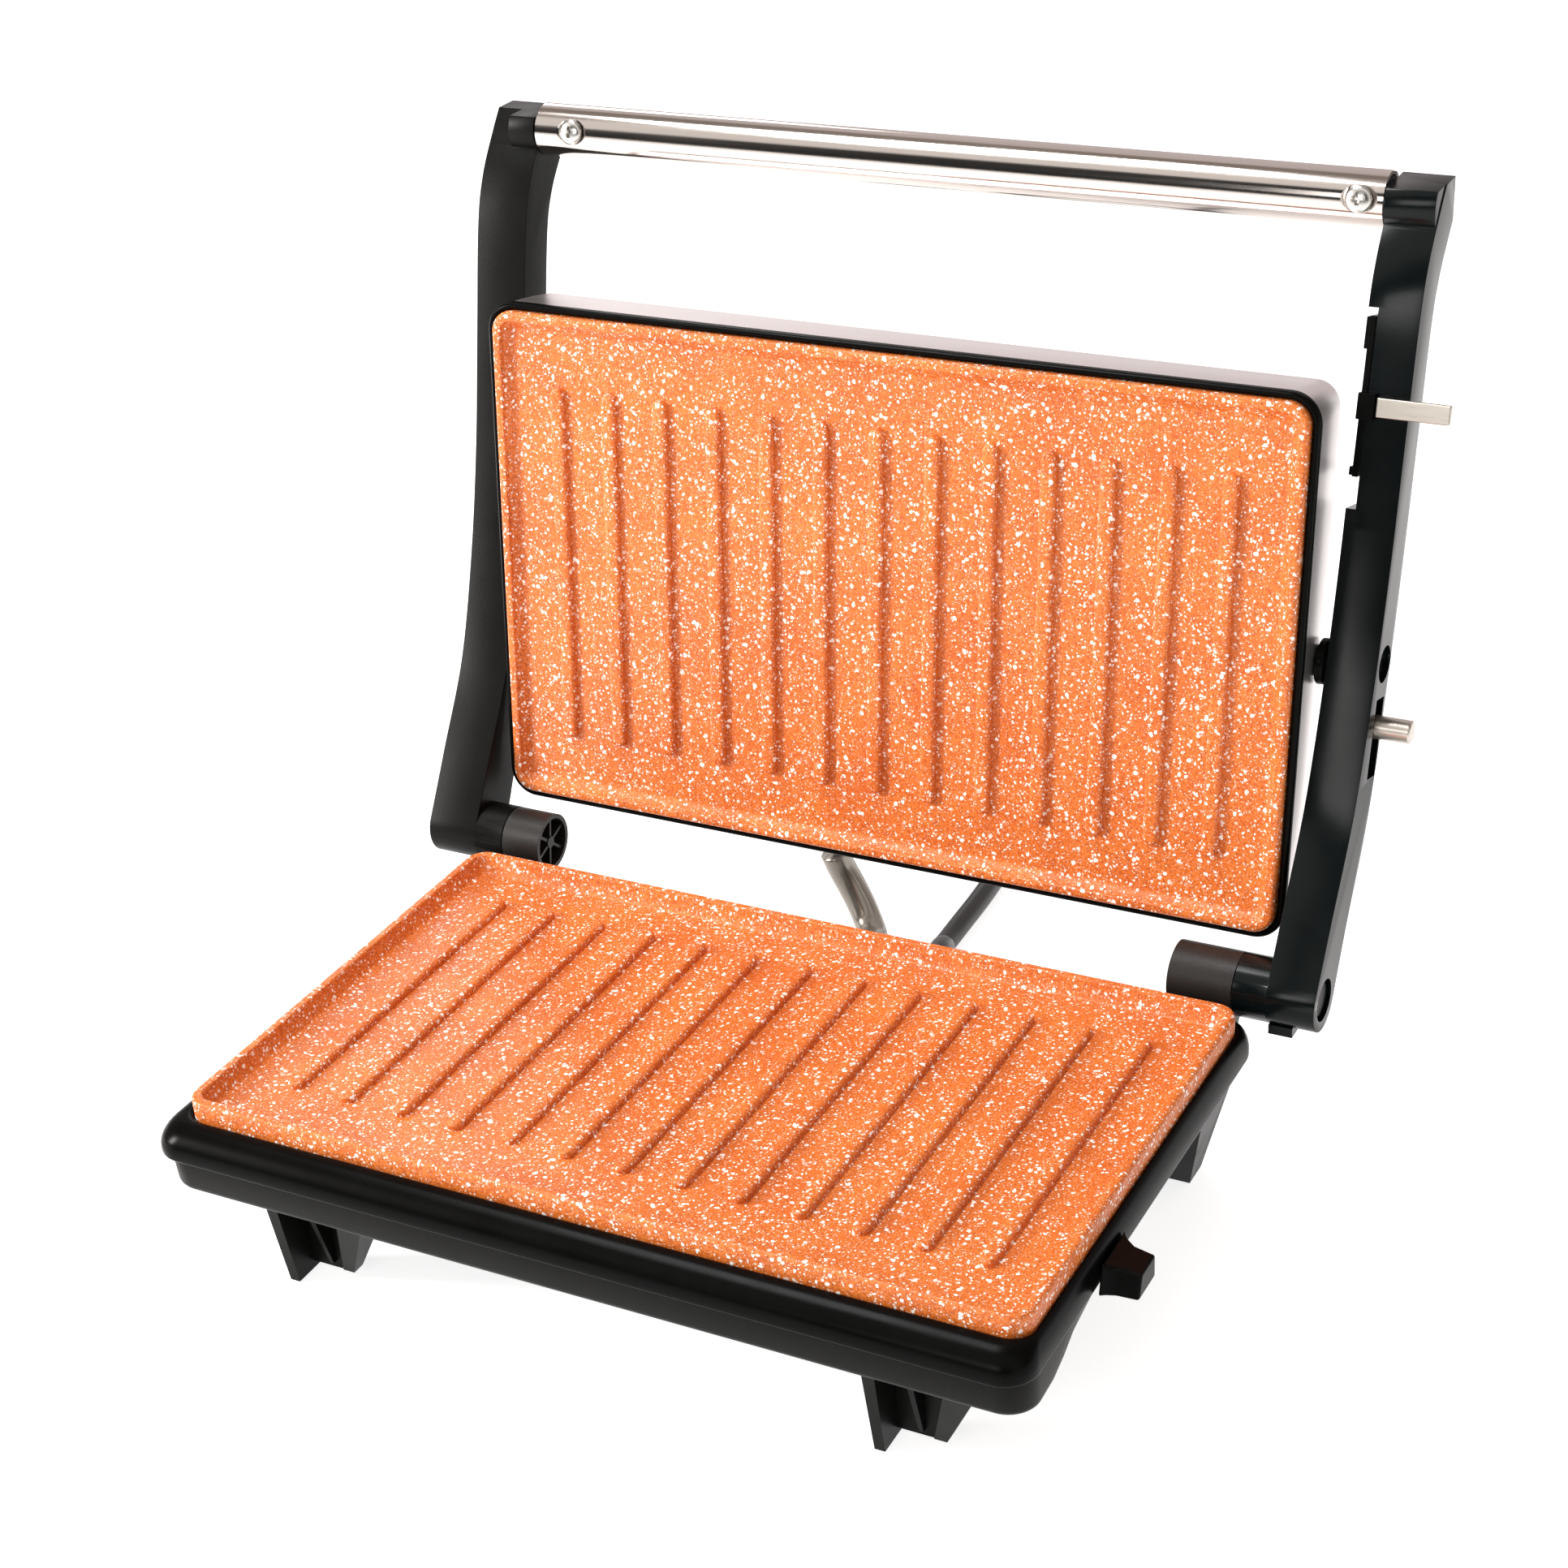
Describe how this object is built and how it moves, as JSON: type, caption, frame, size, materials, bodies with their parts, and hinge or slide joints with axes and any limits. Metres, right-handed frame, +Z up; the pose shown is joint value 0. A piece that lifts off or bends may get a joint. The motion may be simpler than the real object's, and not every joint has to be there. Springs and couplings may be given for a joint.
{
  "type": "panini press",
  "caption": "Open two-slice panini press with ribbed copper-coloured plates, a floating steel cover on moulded arms and a sliding lid latch.",
  "frame": {"origin": "middle of the footprint of everything but the mains lead, on the table", "axes": "+X to the right of a person at the handle, +Y to the back, +Z up"},
  "size_m": [0.2988, 0.3776, 0.2428],
  "materials": {
    "copper_coating": "granite-look non-stick coating, speckled",
    "gloss_black_plastic": "gloss",
    "satin_black_plastic": "satin",
    "polished_steel": "polished",
    "stainless_steel": "brushed",
    "aluminised_sheet": "plain",
    "black_rubber": "matte",
    "white_ceramic": "matte ceramic look",
    "terminal_brown": "matte",
    "grey_metal_sleeve": "satin, metal-look sleeve",
    "red_lens": "clear",
    "green_lens": "clear",
    "nickel_pin": "nickel-plated"
  },
  "bodies": {
    "base": {"base_frame": "gloss_black_plastic", "base_gland": "black_rubber", "base_screw_1": "stainless_steel", "base_screw_2": "stainless_steel", "base_screw_3": "stainless_steel", "base_screw_4": "stainless_steel", "base_tray": "satin_black_plastic", "cord_coil": "black_rubber", "cord_tail": "black_rubber", "cord_tie": "satin_black_plastic", "hinge_knuckle_left": "satin_black_plastic", "hinge_knuckle_right": "satin_black_plastic", "lid_catch": "gloss_black_plastic", "link_lead": "grey_metal_sleeve", "lower_heating_element": "stainless_steel", "lower_plate": "copper_coating", "lower_reflector": "aluminised_sheet", "mains_cord": "black_rubber", "plug_body": "black_rubber", "plug_pin_far": "nickel_pin", "plug_pin_near": "nickel_pin", "strain_relief": "black_rubber", "terminal_block": "terminal_brown", "thermal_fuse": "stainless_steel", "thermostat": "white_ceramic"},
    "lid": {"left_arm": "satin_black_plastic", "right_arm": "gloss_black_plastic", "handle_tube": "stainless_steel", "handle_peg_left": "satin_black_plastic", "handle_peg_right": "satin_black_plastic", "handle_screw_left": "stainless_steel", "handle_screw_right": "stainless_steel", "hinge_pin_left": "gloss_black_plastic", "hinge_pin_right": "gloss_black_plastic", "pivot_pin_left": "stainless_steel", "pivot_pin_right": "stainless_steel"},
    "latch": {"latch_strip": "gloss_black_plastic", "latch_tab": "stainless_steel", "latch_pin": "stainless_steel"},
    "cover": {"upper_cover": "polished_steel", "upper_frame": "gloss_black_plastic", "upper_plate": "copper_coating", "pivot_knob_left": "gloss_black_plastic", "pivot_knob_right": "gloss_black_plastic", "upper_heating_element": "stainless_steel", "upper_reflector": "aluminised_sheet", "upper_thermal_fuse": "stainless_steel", "power_lamp": "red_lens", "ready_lamp": "green_lens", "cover_gland": "black_rubber"}
  },
  "joints": [
    {"name": "lid_hinge", "type": "hinge", "parent": "base", "child": "lid", "pos_m": [0, 0.04215, 0.051], "axis": [1, 0, 0], "range_deg": [0, 97.5], "deforming": ["link_lead"]},
    {"name": "cover_tilt", "type": "hinge", "parent": "lid", "child": "cover", "pos_m": [0, 0.07715, 0.1282], "axis": [1, 0, 0], "range_deg": [-3.8, 1.8]},
    {"name": "latch_slide", "type": "slide", "parent": "lid", "child": "latch", "axis": [0, 0.247, 0.969], "range_m": [-0.006, 0.0016]}
  ]
}
